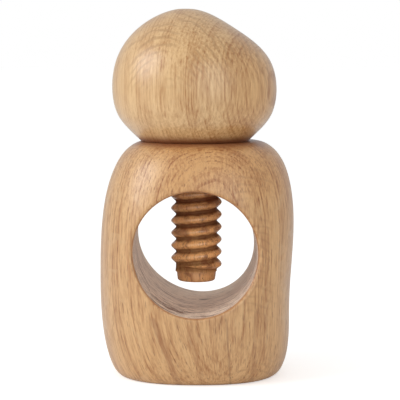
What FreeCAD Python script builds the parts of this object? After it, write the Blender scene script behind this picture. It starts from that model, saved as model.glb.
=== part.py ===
# Screw nutcracker: an oak block with a round window, and a dark wooden screw that comes down
# through the bridge over the window when its oak pebble knob is turned.
# Millimetres. +Z is up, the front faces -Y, and the origin is on the table under the screw's axis.
# The screw is drawn all the way down, with the knob seated on the block.

import os
from math import cos, pi, radians, sin

import FreeCAD
import Part
from FreeCAD import Vector

# ---------------------------------------------------------------- block
block_height = 102.7
foot_left = 32.5            # flat that the block stands on, from the axis to each side
foot_right = 33.5
foot_depth = 31.5
belly_left = 42.4           # widest reach to each side, and half the depth
belly_right = 42.9
belly_depth = 40.4
waist_right = 41.2          # the right side draws in a little below its belly
seat_left = 23.0            # flat on top that carries the knob
seat_right = 26.0
seat_depth = 24.0
block_squareness = 2.35     # 2 is an ellipse in plan, more is squarer

# ---------------------------------------------------------------- window
window_radius = 26.6
window_height = 56.6        # centre of the window above the table
window_oval = 1.6           # behind, sanding has made it this much longer one way and shorter the other
window_oval_lean = 44.0     # degrees that the long way drops towards the right
window_shift = 0.6          # and moved it this far to the left
window_edge_round = 1.3

# ---------------------------------------------------------------- thread
thread_pitch = 5.5
crest_radius = 11.2
root_radius = 8.95
root_flat = 0.12            # the groove's bottom is turned flat this far above the full wave
ridge_fullness = 0.75       # 1 is an even wave, less has fuller ridges and narrower grooves
ridge_share = 0.88          # share of each turn that the ridge takes, the rest is the groove's flat
ridge_sink = 0.8            # how deep the ridge is sunk into the rod under it
thread_play = 0.45          # radial gap between the screw and the block's thread
mouth_chamfer = 0.9         # widens the threaded hole under the knob

# ---------------------------------------------------------------- screw
closed_gap = 10.8           # from the nose down to the window's floor, with the knob seated
nose_radius = 8.75
nose_length = 4.2
nose_taper = 0.5            # how much narrower the nose is at its end
nose_edge_round = 1.2
lead_start = 1.85           # height above the nose of the cone that the lowest turn runs out on
lead_length = 1.8
lead_tilt = 5.5             # degrees, so that the turn fades from the right side round to the left
first_crest = 3.2           # height of the first whole crest on the right side, above the nose
tenon_radius = 8.5          # plain top end, glued into the knob
tenon_length = 22.0
tenon_chamfer = 1.0

# ---------------------------------------------------------------- knob
knob_height = 57.7
knob_foot_left = 24.2       # flat under the knob
knob_foot_right = 22.8
knob_foot_depth = 23.2
knob_belly_left = 36.9
knob_belly_right = 35.2
knob_belly_depth = 33.4
peak_left = 5.0             # the top stands this far left of the axis
peak_flat = 1.5
knob_squareness = 2.06
knob_foot_round = 0.9

# ---------------------------------------------------------------- hidden centre dowel
dowel_radius = 4.0
dowel_length = 34.0
dowel_chamfer = 0.6
dowel_play = 0.08
socket_play = 0.08          # glue gap round the tenon
end_gap = 0.6               # room for glue past the end of a tenon or dowel

# ---------------------------------------------------------------- outlines
# Each runs from the bottom up through the (reach from the axis, share of the height) points that
# steer it. The curve is pulled towards the points between its ends without touching them.
block_left = [
    (foot_left, 0),
    (foot_left + 4.0, 0),             # rounds the foot's edge
    (belly_left - 0.4, 0.155),
    (belly_left + 0.3, 0.45),         # widest here
    (belly_left - 0.9, 0.767),
    (seat_left + 9.6, 0.979),         # the shoulder's turn
    (seat_left + 1.7, 1),             # runs level into the seat
    (seat_left, 1),
]
block_right = [
    (foot_right, 0),
    (foot_right + 4.0, 0),
    (waist_right + 0.8, 0.117),
    (waist_right - 0.8, 0.342),       # drawn in here
    (belly_right + 1.4, 0.662),       # widest here
    (seat_right + 14.1, 0.94),
    (seat_right + 4.5, 1),
    (seat_right, 1),
]
block_depth = [
    (foot_depth, 0),
    (foot_depth + 4.0, 0),
    (belly_depth - 0.4, 0.14),
    (belly_depth + 0.3, 0.42),
    (belly_depth + 0.1, 0.73),
    (seat_depth + 10.5, 0.965),
    (seat_depth + 2.5, 1),
    (seat_depth, 1),
]
knob_left = [
    (knob_foot_left, 0),
    (knob_foot_left + 7.2, 0.116),    # flares out from the foot
    (knob_belly_left + 0.6, 0.223),
    (knob_belly_left + 0.4, 0.657),
    (peak_left + 16.7, 0.941),        # steep shoulder under the peak
    (peak_left + 4.8, 1),
    (peak_left + peak_flat, 1),
]
knob_right = [
    (knob_foot_right, 0),
    (knob_foot_right + 6.0, 0.1),
    (knob_belly_right + 0.6, 0.2),
    (knob_belly_right + 0.6, 0.64),
    (20.9 - peak_left, 0.866),        # long slope up to the peak
    (8.5 - peak_left, 1),
    (peak_flat - peak_left, 1),
]
knob_depth = [
    (knob_foot_depth, 0),
    (knob_foot_depth + 6.6, 0.11),
    (knob_belly_depth + 0.6, 0.21),
    (knob_belly_depth + 0.5, 0.65),
    (peak_flat + 17.5, 0.925),
    (peak_flat + 4.5, 1),
    (peak_flat, 1),
]

section_count = 28          # sections that a skin is lofted through
points_round = 32           # points on each section
wave_steps = 6              # points on each flank of the ridge
beyond = 5.0                # how far cutting shapes run past what they cut

window_floor = window_height - window_radius
nose_end = window_floor + closed_gap
nose_top = nose_end + nose_length
tenon_top = block_height + tenon_length
axis_up = Vector(0, 0, 1)


def outline(points, scale):
    """A smooth curve from the bottom up, steered by (reach, share of the height) points."""
    curve = Part.BSplineCurve()
    curve.buildFromPoles([Vector(reach, 0, share * scale) for reach, share in points], False, 3)
    return curve


def at_share(curve, share):
    first, last = curve.FirstParameter, curve.LastParameter
    return curve.value(first + share * (last - first))


def section(left, right, depth, squareness):
    """A closed ring from a left to a right point, reaching as far as the depth point both ways."""
    middle = (right.x - left.x) / 2
    half_width = (right.x + left.x) / 2
    points = []
    for step in range(points_round):
        angle = 2 * pi * step / points_round
        share_wide = abs(cos(angle) / half_width) ** squareness
        share_deep = abs(sin(angle) / depth.x) ** squareness
        reach = (share_wide + share_deep) ** (-1 / squareness)
        lean = reach * cos(angle) / half_width
        height = (left.z + right.z) / 2 + lean * (right.z - left.z) / 2
        points.append(Vector(middle + reach * cos(angle), reach * sin(angle), height))
    ring = Part.BSplineCurve()
    ring.interpolate(Points=points, PeriodicFlag=True)
    return Part.Wire(ring.toShape())


def skin(left, right, depth, squareness):
    """A closed body lofted between a left, a right and a depth outline."""
    rings = []
    for step in range(section_count + 1):
        share = step / section_count
        points = [at_share(curve, share) for curve in (left, right, depth)]
        rings.append(section(*points, squareness))
    return Part.makeLoft(rings, True, False)


def turned(points):
    """A body of revolution about Z from (radius, height) points."""
    corners = [Vector(radius, 0, height) for radius, height in points]
    face = Part.Face(Part.makePolygon(corners + corners[:1]))
    return face.revolve(Vector(0, 0, 0), axis_up, 360)


def threaded_rod(bottom, top, play):
    """A rod with a rounded right-hand thread, larger all round by play."""
    root = root_radius + play
    core = root + root_flat
    low_crest = nose_top + first_crest
    while low_crest > bottom - thread_pitch:
        low_crest -= thread_pitch
    half_ridge = thread_pitch * ridge_share / 2
    crest = []
    for step in range(-wave_steps, wave_steps + 1):
        rise = half_ridge * step / wave_steps
        fullness = cos(pi * rise / thread_pitch) ** (2 * ridge_fullness)
        radius = root + (crest_radius - root_radius) * fullness
        crest.append(Vector(radius, 0, low_crest + rise))
    wave = Part.BSplineCurve()
    wave.interpolate(Points=crest)
    inside = core - ridge_sink
    lower = Vector(inside, 0, crest[0].z)
    upper = Vector(inside, 0, crest[-1].z)
    rest = Part.makePolygon([crest[-1], upper, lower, crest[0]])
    profile = Part.Wire([wave.toShape()] + rest.Edges)
    length = top - low_crest + thread_pitch
    path = Part.makeHelix(thread_pitch, length, (crest_radius + root_radius) / 2 + play)
    path.translate(Vector(0, 0, low_crest))
    ridge = Part.Wire(path).makePipeShell([profile], True, True)
    rod = Part.makeCylinder(core, top - bottom, Vector(0, 0, bottom))
    ends = Part.makeCylinder(crest_radius + beyond, top - bottom, Vector(0, 0, bottom))
    return rod.fuse(ridge.common(ends))


def window_ring(y, oval, shift):
    """The window's outline at one depth, round or pulled into an oval."""
    lean = -radians(window_oval_lean)
    points = []
    for step in range(points_round):
        angle = 2 * pi * step / points_round
        long_way = (window_radius + oval) * cos(angle - lean)
        short_way = (window_radius - oval) * sin(angle - lean)
        x = long_way * cos(lean) - short_way * sin(lean)
        z = long_way * sin(lean) + short_way * cos(lean)
        points.append(Vector(x - shift, y, window_height + z))
    ring = Part.BSplineCurve()
    ring.interpolate(Points=points, PeriodicFlag=True)
    return Part.Wire(ring.toShape())


def rounded(body, radius, height_wanted):
    """The body with the edges that lie flat at one height rounded."""
    edges = [e for e in body.Edges if abs(e.BoundBox.ZMin - height_wanted) < 0.01
             and abs(e.BoundBox.ZMax - height_wanted) < 0.01]
    return body.makeFillet(radius, edges)


def make_block():
    outlines = [outline(points, block_height) for points in (block_left, block_right, block_depth)]
    block = skin(*outlines, block_squareness)
    out = belly_depth + beyond
    window_rings = [window_ring(-out, 0, 0), window_ring(out, window_oval, window_shift)]
    block = block.cut(Part.makeLoft(window_rings, True, True))
    rims = [e for e in block.Edges if abs(e.CenterOfMass.y) > belly_depth / 2]
    block = block.makeFillet(window_edge_round, rims)
    hole = threaded_rod(window_height, block_height + beyond, thread_play)
    mouth_radius = crest_radius + thread_play
    mouth = turned([
        (0, block_height - mouth_chamfer - mouth_radius), (mouth_radius + mouth_chamfer, block_height),
        (mouth_radius + mouth_chamfer, block_height + 1), (0, block_height + 1),
    ])
    return block.cut(hole).cut(mouth)


def make_screw():
    rod = threaded_rod(nose_end - beyond, block_height + beyond, 0)
    core = root_radius + root_flat
    outside = crest_radius + beyond
    lead_bottom = nose_top + lead_start
    lead_top = lead_bottom + lead_length * (outside - core) / (crest_radius - core)
    run_out = turned([(core, nose_end), (outside, nose_end), (outside, lead_top), (core, lead_bottom)])
    run_out.rotate(Vector(0, 0, lead_bottom), Vector(0, 1, 0), lead_tilt)
    core_room = Part.makeCylinder(core, lead_top - nose_end + beyond, Vector(0, 0, nose_end - beyond))
    rod = rod.cut(run_out.cut(core_room))
    shape = turned([
        (0, nose_end), (nose_radius - nose_taper, nose_end), (nose_radius, nose_top),
        (outside, nose_top), (outside, block_height), (tenon_radius, block_height),
        (tenon_radius, tenon_top - tenon_chamfer), (tenon_radius - tenon_chamfer, tenon_top),
        (0, tenon_top),
    ])
    shape = rounded(shape, nose_edge_round, nose_end)
    tenon_start = Vector(0, 0, block_height - beyond)
    tenon = Part.makeCylinder(tenon_radius, tenon_length + 2 * beyond, tenon_start)
    bore_depth = dowel_length / 2 + end_gap
    bore_start = Vector(0, 0, tenon_top - bore_depth)
    bore = Part.makeCylinder(dowel_radius + dowel_play, bore_depth + 1, bore_start)
    return rod.fuse(tenon).common(shape).cut(bore)


def make_knob():
    outlines = [outline(points, knob_height) for points in (knob_left, knob_right, knob_depth)]
    knob = skin(*outlines, knob_squareness)
    knob = rounded(knob, knob_foot_round, 0)
    knob.translate(Vector(0, 0, block_height))
    socket_depth = tenon_length + end_gap
    socket_start = Vector(0, 0, block_height - 1)
    socket = Part.makeCylinder(tenon_radius + socket_play, socket_depth + 1, socket_start)
    bore_depth = dowel_length / 2 + end_gap
    bore = Part.makeCylinder(dowel_radius + dowel_play, bore_depth, Vector(0, 0, tenon_top))
    return knob.cut(socket).cut(bore)


def make_centre_dowel():
    bottom = tenon_top - dowel_length / 2
    top = tenon_top + dowel_length / 2
    return turned([
        (0, bottom), (dowel_radius - dowel_chamfer, bottom), (dowel_radius, bottom + dowel_chamfer),
        (dowel_radius, top - dowel_chamfer), (dowel_radius - dowel_chamfer, top), (0, top),
    ])


os.makedirs("parts", exist_ok=True)
pieces = {
    "block": make_block(),
    "screw": make_screw(),
    "knob": make_knob(),
    "centre_dowel": make_centre_dowel(),
}
for name, shape in pieces.items():
    solids = shape.Solids
    print(name, "valid", shape.isValid(), "solids", len(solids), "volume", round(shape.Volume), "mm3")
    solids[0].exportStep("parts/" + name + ".step")
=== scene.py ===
import math

import bpy
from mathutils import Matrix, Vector


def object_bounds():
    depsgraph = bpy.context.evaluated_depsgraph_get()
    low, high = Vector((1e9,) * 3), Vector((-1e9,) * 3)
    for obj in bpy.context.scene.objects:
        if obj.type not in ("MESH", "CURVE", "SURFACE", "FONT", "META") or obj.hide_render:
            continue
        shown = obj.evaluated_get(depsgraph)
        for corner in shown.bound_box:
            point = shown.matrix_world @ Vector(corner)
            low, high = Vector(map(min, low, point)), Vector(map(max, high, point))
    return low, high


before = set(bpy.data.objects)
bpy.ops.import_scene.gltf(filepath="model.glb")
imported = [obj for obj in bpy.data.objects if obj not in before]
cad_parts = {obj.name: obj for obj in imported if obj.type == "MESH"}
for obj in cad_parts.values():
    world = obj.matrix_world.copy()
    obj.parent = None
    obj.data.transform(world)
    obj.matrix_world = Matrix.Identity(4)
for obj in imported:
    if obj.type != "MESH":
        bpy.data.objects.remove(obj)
cadLow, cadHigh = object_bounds()
print("frame loaded:", sorted(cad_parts))

white = (1.0, 1.0, 1.0, 1.0)


# node helpers: an input is either a plain value or the socket to link to it
def addNode(tree, kind, inputs=None, **settings):
    node = tree.nodes.new(kind)
    for key, value in settings.items():
        setattr(node, key, value)
    for key, value in (inputs or {}).items():
        if isinstance(value, bpy.types.NodeSocket):
            tree.links.new(value, node.inputs[key])
        else:
            node.inputs[key].default_value = value
    return node


def calc(tree, operation, first, second=0.0, third=0.0, clamp=False):
    node = addNode(tree, "ShaderNodeMath", {0: first, 1: second, 2: third}, operation=operation)
    node.use_clamp = clamp
    return node.outputs[0]


def product(tree, first, *others):
    for other in others:
        first = calc(tree, "MULTIPLY", first, other)
    return first


def total(tree, first, *others):
    for other in others:
        first = calc(tree, "ADD", first, other)
    return first


def centred(tree, value):
    return calc(tree, "SUBTRACT", value, 0.5)  # a noise that swings about zero


def vectorCalc(tree, operation, first, second=(0.0, 0.0, 0.0)):
    node = addNode(tree, "ShaderNodeVectorMath", {0: first, 1: second}, operation=operation)
    return node.outputs["Value" if operation == "LENGTH" else "Vector"]


def stretch(tree, vector, scale):
    return vectorCalc(tree, "MULTIPLY", vector, scale)


def inMillimetres(tree, position):
    return stretch(tree, position, (1000.0, 1000.0, 1000.0))


def splitVector(tree, vector):
    return addNode(tree, "ShaderNodeSeparateXYZ", {0: vector}).outputs


def joinVector(tree, **parts):
    return addNode(tree, "ShaderNodeCombineXYZ", parts).outputs[0]


def fromAxis(tree, vector):
    return vectorCalc(tree, "LENGTH", stretch(tree, vector, (1.0, 1.0, 0.0)))  # distance in the level plane


def ramp(tree, value, span, low=0.0, high=1.0):
    # smooth step: low before the span, high after it
    node = addNode(tree, "ShaderNodeMapRange", {
        "Value": value, "From Min": span[0], "From Max": span[1], "To Min": low, "To Max": high,
    }, interpolation_type="SMOOTHSTEP")
    return node.outputs["Result"]


def fade(tree, value, span, amount=1.0):
    return ramp(tree, value, span, amount, 0.0)  # all of it before the span, none after it


def mixColour(tree, share, first, second, blend="MIX"):
    return addNode(tree, "ShaderNodeMix", {0: share, 6: first, 7: second}, data_type="RGBA",
                   blend_type=blend, clamp_factor=True).outputs[2]


def noiseOutputs(tree, vector, scale=1.0, detail=2.0, roughness=0.5, dimensions="3D"):
    inputs = {"Scale": scale, "Detail": detail, "Roughness": roughness}
    inputs["W" if dimensions == "1D" else "Vector"] = vector
    return addNode(tree, "ShaderNodeTexNoise", inputs, noise_dimensions=dimensions).outputs


def noise(tree, vector, scale=1.0, detail=2.0, roughness=0.5, dimensions="3D"):
    return noiseOutputs(tree, vector, scale, detail, roughness, dimensions)[0]


def vectorNoise(tree, vector):
    return vectorCalc(tree, "SUBTRACT", noiseOutputs(tree, vector)["Color"], (0.5, 0.5, 0.5))


def newGroup(name, inputs, outputs):
    tree = bpy.data.node_groups.new(name, "ShaderNodeTree")
    for label, kind, value in inputs:
        socket = tree.interface.new_socket(label, in_out="INPUT", socket_type="NodeSocket" + kind)
        if value is not None:
            socket.default_value = value
    for label, kind in outputs:
        tree.interface.new_socket(label, in_out="OUTPUT", socket_type="NodeSocket" + kind)
    return tree, tree.nodes.new("NodeGroupInput").outputs


def closeGroup(tree, results):
    addNode(tree, "NodeGroupOutput", results)
    return tree


def useGroup(tree, group, inputs):
    return addNode(tree, "ShaderNodeGroup", inputs, node_tree=group).outputs


# how oak is built: the sets of three are scales across, across and along the fibre, by the millimetre
grain = {
    "longWaves": (0.022, 0.022, 0.008), "shortWaves": (0.16, 0.16, 0.02), "shortWaveSize": (0.9, 0.9, 0.0),
    "widthWaves": 0.11, "widthDetail": 3.0, "widthVariety": 2.6,  # some rings are wider than others
    "earlyOpens": (0.0, 0.10), "earlyCloses": (0.22, 0.55),  # shares of one ring
    "lateOpens": (0.45, 0.9), "lateCloses": (0.94, 1.0),
    "largePores": (1.15, 1.15, 0.17), "largePoreEdge": (0.14, 0.36),
    "smallPores": (1.7, 1.7, 0.30), "smallPoreEdge": (0.10, 0.32), "smallPoreAmount": 0.42,
    "rayWaves": (0.06, 0.09), "rayWobble": 1.6, "rayEdge": (0.05, 0.11),  # out from the pith, and up
    "rayGaps": (0.07, 0.16), "rayGapDetail": 1.0, "rayStep": 3.7, "rayPresent": (0.47, 0.56),
    "fibres": (1.1, 1.1, 0.085), "fibreDetail": 3.0, "fibreRoughness": 0.7,
    "clouds": (0.12, 0.12, 0.012), "cloudDetail": 3.0, "cloudRoughness": 0.55,
    "breaks": (0.5, 0.5, 0.14), "breakSpan": (0.35, 0.62), "breakLeaves": 0.25,
    "lateTone": 0.25, "palestRing": 0.45, "darkestRing": 1.1, "rayShare": 0.5, "poreShare": 0.5,
    "poreDull": 0.22, "earlyDull": 0.06, "rayShine": 0.10, "fibreDull": 0.10,  # added to the roughness
    "earlySunk": 0.12, "fibreRaised": 0.20,  # against a pore's depth of one
}


ringInputs = [
    ("Position", "Vector", None), ("Pith", "Vector", (0.0, 0.0, 0.0)), ("Lean", "Vector", (0.0, 0.0, 0.0)),
    ("Ring Width", "Float", 2.0), ("Wander", "Float", 3.0), ("Seed", "Float", 0.0),
]


# growth rings round a pith, and a position in the fibre's own frame
def makeRingGroup():
    tree, given = newGroup("growthRings", ringInputs, [
        ("Fibre", "Vector"), ("Early", "Float"), ("Late", "Float"), ("Ring Tone", "Float"),
        ("Distance", "Float"), ("Angle", "Float"),
    ])
    shifted = vectorCalc(tree, "SUBTRACT", inMillimetres(tree, given["Position"]), given["Pith"])
    turned = addNode(tree, "ShaderNodeMapping", {"Vector": shifted, "Rotation": given["Lean"]}).outputs[0]
    seeded = vectorCalc(tree, "ADD", shifted, joinVector(tree, X=given["Seed"], Y=given["Seed"]))
    slow = vectorNoise(tree, stretch(tree, seeded, grain["longWaves"]))
    wander = addNode(tree, "ShaderNodeVectorMath", {0: slow, "Scale": given["Wander"]}, operation="SCALE")
    quick = vectorNoise(tree, stretch(tree, seeded, grain["shortWaves"]))
    warped = vectorCalc(tree, "ADD", turned, wander.outputs["Vector"])
    warped = vectorCalc(tree, "ADD", warped, stretch(tree, quick, grain["shortWaveSize"]))
    distance = fromAxis(tree, warped)
    uneven = noise(tree, product(tree, distance, grain["widthWaves"]), detail=grain["widthDetail"],
                   dimensions="1D")
    phase = total(tree, calc(tree, "DIVIDE", distance, given["Ring Width"]),
                  product(tree, uneven, grain["widthVariety"]))
    share = calc(tree, "FRACT", phase)
    early = product(tree, ramp(tree, share, grain["earlyOpens"]), fade(tree, share, grain["earlyCloses"]))
    late = product(tree, ramp(tree, share, grain["lateOpens"]), fade(tree, share, grain["lateCloses"]))
    ringTone = addNode(tree, "ShaderNodeTexWhiteNoise", {"W": calc(tree, "FLOOR", phase)},
                       noise_dimensions="1D").outputs["Value"]
    parts = splitVector(tree, warped)
    angle = calc(tree, "ARCTAN2", parts["Y"], parts["X"])
    return closeGroup(tree, {"Fibre": seeded, "Early": early, "Late": late, "Ring Tone": ringTone,
                             "Distance": distance, "Angle": angle})


# pores: thin dark dashes along the fibre, dots on end grain
def makePoreGroup():
    tree, given = newGroup("oakPores", [
        ("Fibre", "Vector", None), ("Early", "Float", 1.0), ("Amount", "Float", 1.0),
    ], [("Mask", "Float")])

    def cellDistance(scale):
        cells = {"Vector": stretch(tree, given["Fibre"], scale), "Scale": 1.0}
        return addNode(tree, "ShaderNodeTexVoronoi", cells, feature="F1").outputs["Distance"]

    large = fade(tree, cellDistance(grain["largePores"]), grain["largePoreEdge"])
    small = fade(tree, cellDistance(grain["smallPores"]), grain["smallPoreEdge"], grain["smallPoreAmount"])
    both = calc(tree, "MAXIMUM", product(tree, large, given["Early"]), small)
    return closeGroup(tree, {"Mask": calc(tree, "MULTIPLY", both, given["Amount"], clamp=True)})


# rays: thin sheets that point at the pith, flecks where a face runs along them
def makeRayGroup():
    tree, given = newGroup("oakRays", [
        ("Fibre", "Vector", None), ("Distance", "Float", 0.0), ("Angle", "Float", 0.0),
        ("Per Radian", "Float", 14.0), ("Amount", "Float", 1.0),
    ], [("Mask", "Float")])
    height = splitVector(tree, given["Fibre"])["Z"]
    waveOut, waveUp = grain["rayWaves"]
    waves = joinVector(tree, X=product(tree, given["Distance"], waveOut), Y=product(tree, height, waveUp))
    wobble = product(tree, noise(tree, waves), grain["rayWobble"])
    turn = total(tree, product(tree, given["Angle"], given["Per Radian"]), wobble)
    offset = calc(tree, "ABSOLUTE", centred(tree, calc(tree, "FRACT", turn)))
    sheet = fade(tree, offset, grain["rayEdge"])
    gapOut, gapUp = grain["rayGaps"]
    gaps = joinVector(tree, X=product(tree, given["Distance"], gapOut), Y=product(tree, height, gapUp),
                      Z=product(tree, calc(tree, "FLOOR", turn), grain["rayStep"]))
    present = ramp(tree, noise(tree, gaps, detail=grain["rayGapDetail"]), grain["rayPresent"])
    return closeGroup(tree, {"Mask": product(tree, sheet, present, given["Amount"])})


# the whole wood: colour, roughness and height from the groups above
def makeWoodGroup(rings, pores, rays):
    tree, given = newGroup("solidWood", ringInputs + [
        ("Light", "Color", (0.6, 0.4, 0.2, 1.0)), ("Dark", "Color", (0.4, 0.25, 0.1, 1.0)),
        ("Pore Colour", "Color", (0.15, 0.08, 0.03, 1.0)), ("Ray Colour", "Color", (0.7, 0.5, 0.3, 1.0)),
        ("Ring Contrast", "Float", 0.5), ("Ring Variety", "Float", 0.3), ("Streaks", "Float", 1.0),
        ("Depth", "Float", 0.3), ("Pore Amount", "Float", 1.0), ("Ray Amount", "Float", 1.0),
        ("Ray Count", "Float", 14.0), ("Gloss", "Float", 0.45),
    ], [("Colour", "Color"), ("Roughness", "Float"), ("Height", "Float"), ("Distance", "Float")])
    ring = useGroup(tree, rings, {name: given[name] for name, kind, value in ringInputs})
    pore = useGroup(tree, pores, {
        "Fibre": ring["Fibre"], "Early": ring["Early"], "Amount": given["Pore Amount"]})["Mask"]
    ray = useGroup(tree, rays, {
        "Fibre": ring["Fibre"], "Distance": ring["Distance"], "Angle": ring["Angle"],
        "Per Radian": given["Ray Count"], "Amount": given["Ray Amount"]})["Mask"]
    threads = noise(tree, stretch(tree, ring["Fibre"], grain["fibres"]),
                    detail=grain["fibreDetail"], roughness=grain["fibreRoughness"])
    fibre = centred(tree, threads)
    cloud = noise(tree, stretch(tree, ring["Fibre"], grain["clouds"]),
                  detail=grain["cloudDetail"], roughness=grain["cloudRoughness"])
    breaks = noise(tree, stretch(tree, ring["Fibre"], grain["breaks"]))

    # tone runs from the light colour at nought to the dark one at one
    earlyTone = product(tree, ring["Early"], ramp(tree, breaks, grain["breakSpan"], grain["breakLeaves"]))
    tone = total(tree, earlyTone, product(tree, ring["Late"], grain["lateTone"]))
    eachRing = ramp(tree, ring["Ring Tone"], (0.0, 1.0), grain["palestRing"], grain["darkestRing"])
    tone = product(tree, tone, eachRing, given["Ring Contrast"])
    tone = total(tree, tone, product(tree, centred(tree, ring["Ring Tone"]), given["Ring Variety"]),
                 product(tree, fibre, given["Streaks"]), centred(tree, cloud))
    tone = calc(tree, "ADD", tone, given["Depth"], clamp=True)
    colour = mixColour(tree, tone, given["Light"], given["Dark"])
    colour = mixColour(tree, product(tree, ray, grain["rayShare"]), colour, given["Ray Colour"])
    colour = mixColour(tree, product(tree, pore, grain["poreShare"]), colour, given["Pore Colour"])

    rough = total(tree, given["Gloss"], product(tree, pore, grain["poreDull"]),
                  product(tree, ring["Early"], grain["earlyDull"]))
    rough = calc(tree, "SUBTRACT", rough, product(tree, ray, grain["rayShine"]))
    rough = total(tree, rough, product(tree, fibre, grain["fibreDull"]))
    sunk = product(tree, ring["Early"], grain["earlySunk"])
    height = calc(tree, "SUBTRACT", product(tree, pore, -1.0), sunk)
    height = total(tree, height, product(tree, threads, grain["fibreRaised"]))
    return closeGroup(tree, {"Colour": colour, "Roughness": rough, "Height": height,
                             "Distance": ring["Distance"]})


woodGroup = makeWoodGroup(makeRingGroup(), makePoreGroup(), makeRayGroup())
print("wood groups ready")


def woodMaterial(name, look):
    material = bpy.data.materials.new(name)
    material.use_nodes = True
    tree = material.node_tree
    tree.nodes.clear()
    position = tree.nodes.new("ShaderNodeTexCoord").outputs["Object"]
    wood = useGroup(tree, woodGroup, {"Position": position, **look["wood"]})
    bump = addNode(tree, "ShaderNodeBump", {
        "Height": wood["Height"], "Strength": look["bump"], "Distance": look["poreDepth"]})
    shader = addNode(tree, "ShaderNodeBsdfPrincipled", {
        "Base Color": wood["Colour"], "Roughness": wood["Roughness"], "Normal": bump.outputs[0],
        "Specular IOR Level": look["specular"], "Coat Weight": look["oil"],
        "Coat Roughness": look["oilRoughness"]})
    addNode(tree, "ShaderNodeOutputMaterial", {0: shader.outputs[0]})
    return material, position, wood, shader


def paint(node, material):
    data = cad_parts[node].data
    data.materials.clear()
    data.materials.append(material)


# block: places and widths are in millimetres, here and below, and poreDepth is in metres
lineBrown = (0.28, 0.100, 0.028, 1.0)

blockLook = {
    "wood": {
        "Pith": (13.5, -84.0, 0.0), "Lean": (0.0, 0.015, 0.0),
        "Ring Width": 1.55, "Wander": 5.0, "Seed": 11.0,
        "Light": (0.69, 0.412, 0.182, 1.0), "Dark": (0.34, 0.122, 0.024, 1.0),
        "Pore Colour": (0.17, 0.050, 0.010, 1.0), "Ray Colour": (0.64, 0.40, 0.19, 1.0),
        "Ring Contrast": 0.54, "Ring Variety": 0.36, "Streaks": 2.4, "Depth": 0.22,
        "Pore Amount": 1.15, "Ray Amount": 0.8, "Ray Count": 14.0, "Gloss": 0.40,
    },
    "specular": 0.5, "oil": 0.8, "oilRoughness": 0.33, "bump": 0.5, "poreDepth": 0.00025,
    "windowHeight": 56.6, "frontDepth": (-20.0, -12.0),
    # the fibres lean over and the rings are fainter towards the foot
    "leanTop": 52.0, "lean": 0.42, "leanAcross": (-4.0, 16.0), "ringHeights": (34.0, 78.0), "lowRings": 0.26,
    # dark growth lines under the window, by where they meet the floor
    "lines": [
        {"x": 14.8, "slope": -0.055, "width": 0.65, "top": 31.0, "amount": 0.38,
         "colour": (0.20, 0.075, 0.022, 1.0)},
        {"x": -7.0, "slope": -0.370, "width": 2.0, "top": 31.0, "amount": 0.42, "colour": lineBrown},
        {"x": 3.0, "slope": -0.230, "width": 1.3, "top": 26.0, "amount": 0.22, "colour": lineBrown},
        {"x": 24.0, "slope": 0.060, "width": 1.1, "top": 34.0, "amount": 0.25, "colour": lineBrown},
    ],
    "lineWaves": 0.12, "lineWander": 1.4, "lineCore": 0.35, "lineEnd": 2.0,
    # level ripples between two upright edges
    "rippleLeft": (12.0, 20.0), "rippleRight": (30.0, 36.0), "rippleMiddle": 22.0, "rippleCurve": 0.035,
    "rippleTurns": 1.9, "rippleWaves": 60.0, "rippleWander": 14.0, "rippleEdge": (0.1, 1.0),
    "ripplePatches": 75.0, "ripplePatchEdge": (0.42, 0.62),
    "rippleAmount": 0.20, "rippleDark": (0.26, 0.11, 0.035, 1.0),
    # painted shade: darker over the window and down the right side, away from the key light, and at the top
    # where the knob sits
    "shadeHeights": (70.0, 88.0), "shadeAcross": (-24.0, -6.0), "shadeRight": (16.0, 36.0),
    "shadeRightAmount": 0.35, "shadeTint": (0.95, 0.87, 0.76, 1.0),
    "contactShadeHeights": (99.6, 102.9), "contactShadePatches": 110.0, "contactShadeDetail": 3.0, "contactShadeUneven": 3.0,
    "contactShadeAmount": 0.75, "contactShadeColour": (0.20, 0.045, 0.012, 1.0),
    # the window's rim and wall: how far a face turns from the front tells them apart
    "windowReach": (28.6, 29.8), "wallFacing": (0.08, 0.45),
    "rimStarts": (0.10, 0.40), "rimEnds": (0.70, 0.97),
    "rimAmount": 0.6, "rimColour": (0.42, 0.165, 0.055, 1.0),
    "wallAmount": 0.92, "wallPaleAndBacklight": (1.00, 0.830, 0.680, 1.0), "wallShine": 0.42, "wallRough": 0.15,
    # streaks on the wall
    "streakColour": (0.16, 0.048, 0.018, 1.0), "streakDepths": (-34.0, 20.0), "streakBack": 0.45,
    "streakTwist": 9.0, "streakRight": (-6.0, 16.0), "streakRightAmount": 0.65,
    "broadStreaks": (0.36, 1.2), "broadDetail": 6.0, "broadRoughness": 0.78,
    "broadEdge": (0.49, 0.61), "broadAmount": 0.96,
    "fineStreaks": (1.3, 6.0), "fineDetail": 3.0, "fineRoughness": 0.6,
    "fineEdge": (0.47, 0.62), "fineAmount": 0.62,
    # a small dark knot low on the wall
    "knotPlace": (3.5, 13.0, 30.0), "knotShape": (0.35, 0.5, 0.3), "knotWaves": 900.0, "knotUneven": 0.8,
    "knotEdge": (0.9, 1.6), "knotAmount": 0.7, "knotColour": (0.10, 0.05, 0.025, 1.0),
}


def leanFibres(tree, position, place, woodIn):
    look = blockLook
    below = calc(tree, "MAXIMUM", calc(tree, "SUBTRACT", look["leanTop"], place["Z"]), 0.0)
    bend = product(tree, below, below, 0.5 * look["lean"] / look["leanTop"],
                   fade(tree, place["X"], look["leanAcross"]))
    bend = joinVector(tree, X=product(tree, bend, -0.001))  # in metres, as the position is
    tree.links.new(vectorCalc(tree, "ADD", position, bend), woodIn["Position"])
    rings = ramp(tree, place["Z"], look["ringHeights"], look["lowRings"], look["wood"]["Ring Contrast"])
    tree.links.new(rings, woodIn["Ring Contrast"])


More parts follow.
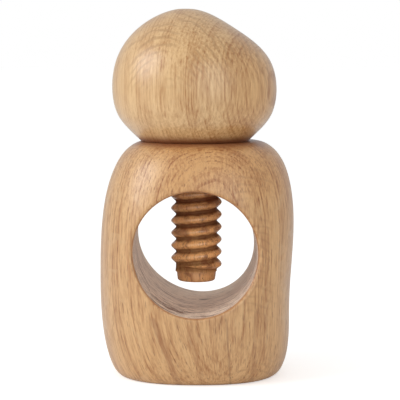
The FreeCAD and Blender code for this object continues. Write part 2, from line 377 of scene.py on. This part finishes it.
def darkLines(tree, place, front, colour):
    look = blockLook
    wobble = noise(tree, product(tree, place["Z"], look["lineWaves"]), dimensions="1D")
    wobble = product(tree, centred(tree, wobble), look["lineWander"])
    for line in look["lines"]:
        middle = total(tree, calc(tree, "MULTIPLY_ADD", place["Z"], line["slope"], line["x"]), wobble)
        away = calc(tree, "ABSOLUTE", calc(tree, "SUBTRACT", place["X"], middle))
        mask = fade(tree, away, (line["width"] * look["lineCore"], line["width"]), line["amount"])
        upTo = fade(tree, place["Z"], (line["top"] - look["lineEnd"], line["top"]))
        colour = mixColour(tree, product(tree, mask, upTo, front), colour, line["colour"])
    return colour


# cross flecks: faint level ripples where the face runs along the rays
def crossRipples(tree, position, place, front, colour):
    look = blockLook
    aside = calc(tree, "SUBTRACT", place["X"], look["rippleMiddle"])
    curve = product(tree, calc(tree, "POWER", aside, 2.0), look["rippleCurve"])
    wander = product(tree, noise(tree, position, look["rippleWaves"]), look["rippleWander"])
    level = total(tree, place["Z"], curve)
    ripple = calc(tree, "SINE", calc(tree, "MULTIPLY_ADD", level, look["rippleTurns"], wander))
    patches = ramp(tree, noise(tree, position, look["ripplePatches"]), look["ripplePatchEdge"])
    ripple = product(tree, ramp(tree, ripple, look["rippleEdge"]), patches)
    zone = product(tree, ramp(tree, place["X"], look["rippleLeft"]),
                   fade(tree, place["X"], look["rippleRight"]), front)
    return mixColour(tree, product(tree, ripple, zone, look["rippleAmount"]), colour, look["rippleDark"])


# painted shade: the wood is darker and warmer over the window and down the right side, away from the key
# light, and a painted shadow lies at the top where the knob sits
def blockPaintedShade(tree, position, place, colour):
    look = blockLook
    # painted shade: darker and warmer over the window and down the right side, away from the key light
    paintedShade = product(tree, ramp(tree, place["Z"], look["shadeHeights"]),
                   ramp(tree, place["X"], look["shadeAcross"]))
    rightShade = ramp(tree, place["X"], look["shadeRight"], 0.0, look["shadeRightAmount"])
    colour = mixColour(tree, calc(tree, "MAXIMUM", paintedShade, rightShade), colour, look["shadeTint"], "MULTIPLY")
    # painted shadow: darker at the top of the block where the knob sits on it
    patches = noise(tree, position, look["contactShadePatches"], look["contactShadeDetail"])
    uneven = product(tree, centred(tree, patches), look["contactShadeUneven"])
    contactShade = ramp(tree, total(tree, place["Z"], uneven), look["contactShadeHeights"], 0.0, look["contactShadeAmount"])
    return mixColour(tree, contactShade, colour, look["contactShadeColour"])


# masks of the window's wall and of its rounded rim
def windowMasks(tree, place):
    look = blockLook
    above = calc(tree, "SUBTRACT", place["Z"], look["windowHeight"])
    reach = calc(tree, "SQRT", total(
        tree, calc(tree, "POWER", place["X"], 2.0), calc(tree, "POWER", above, 2.0)))
    normal = tree.nodes.new("ShaderNodeTexCoord").outputs["Normal"]
    facing = calc(tree, "ABSOLUTE", splitVector(tree, normal)["Y"])
    near = fade(tree, reach, look["windowReach"])
    wall = product(tree, near, fade(tree, facing, look["wallFacing"]))
    rim = product(tree, near, ramp(tree, facing, look["rimStarts"]), fade(tree, facing, look["rimEnds"]))
    return wall, rim


# the wall is cut across the fibre and left greyer, and its near-white tint also paints in the light from the
# white backdrop behind it, with streaks that follow the rings round it
def windowWall(tree, place, wood, wall, colour):
    look = blockLook
    # the near-white tint is partly the wall's own paler, unfinished end grain and partly painted light from
    # the white backdrop
    colour = mixColour(tree, product(tree, wall, look["wallAmount"]), colour, look["wallPaleAndBacklight"])
    streaked = product(tree, wall, ramp(tree, place["Y"], look["streakDepths"], 1.0, look["streakBack"]))
    around = calc(tree, "ARCTAN2", place["X"], calc(tree, "SUBTRACT", look["windowHeight"], place["Z"]))
    across = calc(tree, "MULTIPLY_ADD", around, look["streakTwist"], wood["Distance"])

    def streaks(kind):
        scaleAcross, scaleAround = look[kind + "Streaks"]
        spot = joinVector(tree, X=product(tree, across, scaleAcross), Y=product(tree, around, scaleAround))
        value = noise(tree, spot, 1.0, look[kind + "Detail"], look[kind + "Roughness"])
        return ramp(tree, value, look[kind + "Edge"], 0.0, look[kind + "Amount"])

    fewer = ramp(tree, place["X"], look["streakRight"], 1.0, look["streakRightAmount"])
    colour = mixColour(tree, product(tree, streaks("broad"), fewer, streaked), colour, look["streakColour"])
    return mixColour(tree, product(tree, streaks("fine"), streaked), colour, look["streakColour"])


def wallKnot(tree, position, colour):
    look = blockLook
    span = vectorCalc(tree, "SUBTRACT", inMillimetres(tree, position), look["knotPlace"])
    uneven = product(tree, noise(tree, position, look["knotWaves"]), look["knotUneven"])
    near = total(tree, vectorCalc(tree, "LENGTH", stretch(tree, span, look["knotShape"])), uneven)
    return mixColour(tree, fade(tree, near, look["knotEdge"], look["knotAmount"]), colour, look["knotColour"])


def dressBlock():
    look = blockLook
    material, position, wood, shader = woodMaterial("blockOak", look)
    tree = material.node_tree
    place = splitVector(tree, inMillimetres(tree, position))
    front = fade(tree, place["Y"], look["frontDepth"])
    leanFibres(tree, position, place, wood["Colour"].node.inputs)
    colour = darkLines(tree, place, front, wood["Colour"])
    colour = crossRipples(tree, position, place, front, colour)
    colour = blockPaintedShade(tree, position, place, colour)
    wall, rim = windowMasks(tree, place)
    colour = mixColour(tree, product(tree, rim, look["rimAmount"]), colour, look["rimColour"])
    colour = windowWall(tree, place, wood, wall, colour)
    colour = wallKnot(tree, position, colour)
    tree.links.new(colour, shader.inputs["Base Color"])

    # no oil reached the wall, so it is dull
    tree.links.new(fade(tree, wall, (0.0, 1.0), look["oil"]), shader.inputs["Coat Weight"])
    shine = ramp(tree, wall, (0.0, 1.0), look["specular"], look["wallShine"])
    tree.links.new(shine, shader.inputs["Specular IOR Level"])
    rough = calc(tree, "MULTIPLY_ADD", wall, look["wallRough"], wood["Roughness"])
    tree.links.new(rough, shader.inputs["Roughness"])
    paint("block", material)
    print("block dressed")


# knob
knobLook = {
    "wood": {
        "Pith": (-260.0, 70.0, 131.0), "Lean": (0.0, 0.03, 0.0),
        "Ring Width": 1.7, "Wander": 2.0, "Seed": 47.0,
        "Light": (0.73, 0.475, 0.225, 1.0), "Dark": (0.38, 0.152, 0.028, 1.0),
        "Pore Colour": (0.23, 0.060, 0.008, 1.0), "Ray Colour": (0.66, 0.44, 0.23, 1.0),
        "Ring Contrast": 0.42, "Ring Variety": 0.14, "Streaks": 2.3,
        "Pore Amount": 0.6, "Ray Amount": 0.3, "Ray Count": 60.0, "Gloss": 0.38,
    },
    "specular": 0.5, "oil": 1.0, "oilRoughness": 0.32, "bump": 0.45, "poreDepth": 0.00025,
    # painted light: the left, under the key light, is paler with calmer grain as a painted highlight, and the
    # right darker as painted shade
    "highlightAcross": (-34.0, 6.0), "highlightStreaks": 1.2, "highlightPores": 0.25,
    "paintedLightAcross": (-30.0, 34.0), "litDepth": 0.16, "shadedDepth": 0.34,
    # arches round a point below the middle, where the cut climbs through the rings
    "archAside": -12.7, "archHeight": 112.0, "archNarrow": 1.6, "archTall": 0.8, "archSpacing": 2.6,
    "archWaves": 120.0, "archDetail": 3.0, "archWander": 5.0,
    "archEdge": (-0.2, 1.0), "archStarts": (10.0, 22.0),
    "archPatches": 70.0, "archPatchEdge": (0.40, 0.60), "archDepth": (-12.0, 0.0),
    "archAmount": 0.42, "archDark": (0.34, 0.170, 0.056, 1.0),
    # painted shade: darker on the right, away from the key light, and a painted shadow at the foot where the
    # knob meets the block
    "shadeAcross": (2.0, 30.0), "shadeTint": (0.97, 0.88, 0.76, 1.0),
    "contactShadeHeights": (103.1, 106.6), "contactShadeAmount": 0.88, "contactShadeColour": (0.20, 0.045, 0.012, 1.0),
}


# faint arches on the upper half of the front
def knobArches(tree, position, place, colour):
    look = knobLook
    aside = calc(tree, "SUBTRACT", place["X"], look["archAside"])
    above = calc(tree, "SUBTRACT", place["Z"], look["archHeight"])
    reach = calc(tree, "SQRT", total(
        tree, product(tree, aside, product(tree, aside, look["archNarrow"])),
        product(tree, above, product(tree, above, look["archTall"]))))
    wander = product(tree, noise(tree, position, look["archWaves"], look["archDetail"]), look["archWander"])
    reach = total(tree, reach, wander)
    arch = calc(tree, "SINE", product(tree, reach, 2.0 * math.pi / look["archSpacing"]))
    arch = product(tree, ramp(tree, arch, look["archEdge"]),
                   ramp(tree, above, look["archStarts"], 0.0, look["archAmount"]),
                   ramp(tree, noise(tree, position, look["archPatches"]), look["archPatchEdge"]),
                   fade(tree, place["Y"], look["archDepth"]))
    return mixColour(tree, arch, colour, look["archDark"])


def dressKnob():
    look = knobLook
    material, position, wood, shader = woodMaterial("knobOak", look)
    tree = material.node_tree
    place = splitVector(tree, inMillimetres(tree, position))
    woodIn = wood["Colour"].node.inputs
    # painted highlight: calmer grain on the left, under the key light
    for name, highlightValue in (("Streaks", look["highlightStreaks"]), ("Pore Amount", look["highlightPores"])):
        tree.links.new(ramp(tree, place["X"], look["highlightAcross"], highlightValue, look["wood"][name]), woodIn[name])
    # painted light: paler on the left, darker on the right
    paintedLightDepth = ramp(tree, place["X"], look["paintedLightAcross"], look["litDepth"], look["shadedDepth"])
    tree.links.new(paintedLightDepth, woodIn["Depth"])
    colour = knobArches(tree, position, place, wood["Colour"])
    # painted shade: darker and warmer on the right, away from the key light
    paintedShade = ramp(tree, place["X"], look["shadeAcross"])
    colour = mixColour(tree, paintedShade, colour, look["shadeTint"], "MULTIPLY")
    # painted shadow: darker at the knob's foot where it meets the block
    contactShade = fade(tree, place["Z"], look["contactShadeHeights"], look["contactShadeAmount"])
    colour = mixColour(tree, contactShade, colour, look["contactShadeColour"])
    tree.links.new(colour, shader.inputs["Base Color"])
    paint("knob", material)
    print("knob dressed")


# screw
screwLook = {
    "wood": {
        "Pith": (-30.0, 18.0, 0.0), "Ring Width": 1.6, "Wander": 2.0, "Seed": 83.0,
        "Light": (1.00, 0.540, 0.215, 1.0), "Dark": (0.42, 0.145, 0.048, 1.0),
        "Pore Colour": (0.05, 0.014, 0.006, 1.0), "Ray Colour": (0.60, 0.34, 0.15, 1.0),
        "Ring Contrast": 0.6, "Ring Variety": 0.4, "Streaks": 2.4, "Depth": 0.10,
        "Pore Amount": 1.0, "Ray Amount": 0.4, "Ray Count": 40.0, "Gloss": 0.28,
    },
    "specular": 0.6, "oil": 0.9, "oilRoughness": 0.22, "bump": 0.5, "poreDepth": 0.0003,
    # grime and painted shade fill the grooves, thin out on the crests and stop at the nose
    "grimeAndShade": (0.085, 0.026, 0.011, 1.0), "grimeAndShadeAmount": 0.88, "grimeAndShadeRadii": (9.3, 10.7),
    "grimeAndShadePatches": 260.0, "grimeAndShadeDetail": 3.0, "grimeAndShadeUneven": 1.6, "grimeAndShadeStarts": (44.0, 46.5),
    "grimeAndShadeHeights": (46.0, 72.0), "lowGrimeAndShade": 0.80,
    "grimeRough": 0.3, "grimeHidesOil": (0.0, 0.6), "grimeHidesShine": (0.0, 0.7), "grimeShine": 0.1,
    # painted shade on the upper turns near the window's roof, a darker nose, and brown stain in patches all
    # over
    "stainAndShade": (0.18, 0.050, 0.020, 1.0), "stainAmount": 0.62, "stainPatches": 150.0, "stainDetail": 4.0,
    "stainRoughness": 0.6, "stainEdge": (0.50, 0.66),
    "highHeights": (58.0, 84.0), "highShade": 0.50, "noseHeights": (44.0, 47.0), "noseShade": 0.30,
    # short upright cracks over the crests
    "cracks": 0.8, "crackScale": (1.5, 1.5, 0.22), "crackDetail": 1.0, "crackWidth": (0.006, 0.022),
    "crackPatches": 190.0, "crackPatchEdge": (0.46, 0.58),
}


def screwGrimeAndShade(tree, position, place, height):
    look = screwLook
    # grime and painted shade: darker in the grooves, lighter on the crests
    radius = fromAxis(tree, place)
    patches = noise(tree, position, look["grimeAndShadePatches"], look["grimeAndShadeDetail"])
    uneven = product(tree, centred(tree, patches), look["grimeAndShadeUneven"])
    grimeAndShade = fade(tree, total(tree, radius, uneven), look["grimeAndShadeRadii"], look["grimeAndShadeAmount"])
    return product(tree, grimeAndShade, ramp(tree, height, look["grimeAndShadeStarts"]),
                   ramp(tree, height, look["grimeAndShadeHeights"], look["lowGrimeAndShade"]))


def screwStainAndShade(tree, position, height, colour):
    look = screwLook
    # painted shade: the upper turns, near the window's roof, are darker
    high = ramp(tree, height, look["highHeights"], 0.0, look["highShade"])
    nose = fade(tree, height, look["noseHeights"], look["noseShade"])
    patches = noise(tree, position, look["stainPatches"], look["stainDetail"], look["stainRoughness"])
    patches = ramp(tree, patches, look["stainEdge"], 0.0, look["stainAmount"])
    for mask in (high, nose, patches):
        colour = mixColour(tree, mask, colour, look["stainAndShade"])
    return colour


def screwCracks(tree, position, place, colour):
    look = screwLook
    thread = noise(tree, stretch(tree, place, look["crackScale"]), detail=look["crackDetail"])
    crack = fade(tree, calc(tree, "ABSOLUTE", centred(tree, thread)), look["crackWidth"], look["cracks"])
    patches = ramp(tree, noise(tree, position, look["crackPatches"]), look["crackPatchEdge"])
    return mixColour(tree, product(tree, crack, patches), colour, look["grimeAndShade"])


def dressScrew():
    look = screwLook
    material, position, wood, shader = woodMaterial("screwOak", look)
    tree = material.node_tree
    place = inMillimetres(tree, position)
    height = splitVector(tree, place)["Z"]
    grimeAndShade = screwGrimeAndShade(tree, position, place, height)
    colour = mixColour(tree, grimeAndShade, wood["Colour"], look["grimeAndShade"])
    colour = screwStainAndShade(tree, position, height, colour)
    colour = screwCracks(tree, position, place, colour)
    tree.links.new(colour, shader.inputs["Base Color"])
    rough = total(tree, wood["Roughness"], product(tree, grimeAndShade, look["grimeRough"]))
    tree.links.new(rough, shader.inputs["Roughness"])
    tree.links.new(fade(tree, grimeAndShade, look["grimeHidesOil"], look["oil"]), shader.inputs["Coat Weight"])
    shine = ramp(tree, grimeAndShade, look["grimeHidesShine"], look["specular"], look["grimeShine"])
    tree.links.new(shine, shader.inputs["Specular IOR Level"])
    paint("screw", material)
    print("screw dressed")


# dowel: plain, unoiled beech
dowelLook = {
    "wood": {
        "Pith": (40.0, 10.0, 0.0), "Ring Width": 1.4, "Wander": 1.0, "Seed": 5.0,
        "Light": (0.66, 0.46, 0.28, 1.0), "Dark": (0.52, 0.34, 0.19, 1.0),
        "Pore Colour": (0.34, 0.20, 0.11, 1.0), "Ray Colour": (0.42, 0.25, 0.14, 1.0),
        "Ring Contrast": 0.3, "Ring Variety": 0.2, "Streaks": 0.6, "Depth": 0.3,
        "Pore Amount": 0.4, "Ray Amount": 0.6, "Ray Count": 60.0, "Gloss": 0.55,
    },
    "specular": 0.4, "oil": 0.0, "oilRoughness": 0.4, "bump": 0.2, "poreDepth": 0.0001,
}


def dressDowel():
    material = woodMaterial("dowelBeech", dowelLook)[0]
    paint("centre_dowel", material)
    print("dowel dressed")


# studio: metres, degrees and watts, with the lens and its sensor in millimetres
studio = {
    "cameraAside": 0.0088, "cameraBack": 0.740, "cameraHeight": 0.1462,
    "cameraDown": 5.384, "cameraTurn": 0.558, "lens": 151.45, "sensorWidth": 36.0,
    "floorRadius": 8.0, "floorSides": 96, "floorColour": (0.88, 0.88, 0.88, 1.0), "floorRoughness": 0.7,
    "floorGlow": 0.50, "worldLight": 0.58,
    "keyPlace": (-0.85, -0.35, 0.58), "keySize": 0.70, "keyPower": 5.0,
    "fillPlace": (0.5, -1.2, 0.45), "fillSize": 1.1, "fillPower": 3.7,
}


def addLamp(name):
    data = bpy.data.lights.new(name, "AREA")
    data.shape = "DISK"
    data.size = studio[name + "Size"]
    data.energy = studio[name + "Power"]
    lamp = bpy.data.objects.new(name, data)
    bpy.context.scene.collection.objects.link(lamp)
    lamp.location = studio[name + "Place"]
    lamp.rotation_mode = "QUATERNION"
    middle = (cadLow + cadHigh) / 2
    lamp.rotation_quaternion = (middle - Vector(studio[name + "Place"])).to_track_quat("-Z", "Y")


def addCamera():
    data = bpy.data.cameras.new("camera")
    data.lens = studio["lens"]
    data.sensor_width = studio["sensorWidth"]
    camera = bpy.data.objects.new("camera", data)
    bpy.context.scene.collection.objects.link(camera)
    camera.location = (studio["cameraAside"], -studio["cameraBack"], studio["cameraHeight"])
    camera.rotation_euler = (math.radians(90 - studio["cameraDown"]), 0.0, math.radians(studio["cameraTurn"]))
    bpy.context.scene.camera = camera


def addFloor():
    bpy.ops.mesh.primitive_circle_add(vertices=studio["floorSides"], radius=studio["floorRadius"],
                                      fill_type="NGON", location=(0, 0, cadLow.z))
    floor = bpy.context.object
    floor.name = "floor"
    material = bpy.data.materials.new("floorPale")
    material.use_nodes = True
    tree = material.node_tree
    shader = tree.nodes["Principled BSDF"]
    shader.inputs["Base Color"].default_value = studio["floorColour"]
    shader.inputs["Roughness"].default_value = studio["floorRoughness"]
    shader.inputs["Emission Color"].default_value = white
    seen = tree.nodes.new("ShaderNodeLightPath").outputs["Is Camera Ray"]  # the glow lights nothing else
    tree.links.new(product(tree, seen, studio["floorGlow"]), shader.inputs["Emission Strength"])
    floor.data.materials.append(material)


# white behind the object, softer light on it
def addWorld():
    world = bpy.data.worlds.new("studio")
    bpy.context.scene.world = world
    world.use_nodes = True
    tree = world.node_tree
    tree.nodes.clear()
    light = addNode(tree, "ShaderNodeBackground", {"Color": white, "Strength": studio["worldLight"]})
    seen = addNode(tree, "ShaderNodeBackground", {"Color": white, "Strength": 1.0})
    path = tree.nodes.new("ShaderNodeLightPath")
    mix = addNode(tree, "ShaderNodeMixShader", {
        0: path.outputs["Is Camera Ray"], 1: light.outputs[0], 2: seen.outputs[0]})
    addNode(tree, "ShaderNodeOutputWorld", {0: mix.outputs[0]})


def makeStudio():
    addCamera()
    addLamp("key")
    addLamp("fill")
    addFloor()
    addWorld()
    bpy.context.scene.view_settings.view_transform = "Standard"
    print("studio ready")


dressBlock()
dressKnob()
dressScrew()
dressDowel()
makeStudio()
